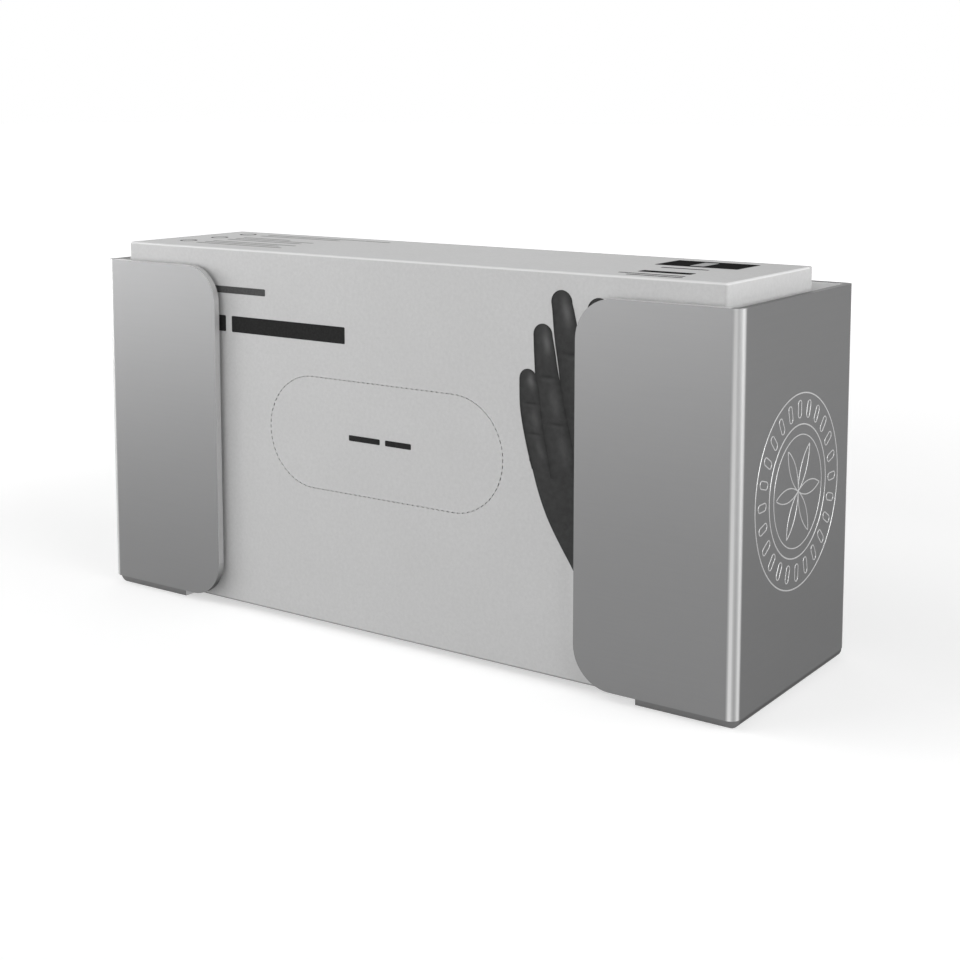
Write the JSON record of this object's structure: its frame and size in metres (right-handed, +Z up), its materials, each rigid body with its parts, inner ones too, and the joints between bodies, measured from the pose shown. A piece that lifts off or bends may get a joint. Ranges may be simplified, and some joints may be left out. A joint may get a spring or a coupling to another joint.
{
  "type": "glove dispenser",
  "caption": "Open-fronted wall holder folded from aluminium sheet, with rounded front wings and floor tabs, holding a sealed carton of disposable gloves.",
  "frame": {"origin": "midway between the holder's two sides and midway between its front and back, at the underside of the floor tabs", "axes": "+X to the right seen from the front, along the longest extent; +Y back into the wall, along the shortest extent; +Z up"},
  "size_m": [0.254, 0.08, 0.1274],
  "materials": {
    "sheet": "satin",
    "board": "matt coated carton board, pale grey, printed dark grey"
  },
  "bodies": {
    "root": {"holder": "sheet", "glove_carton": "board"}
  },
  "joints": []
}
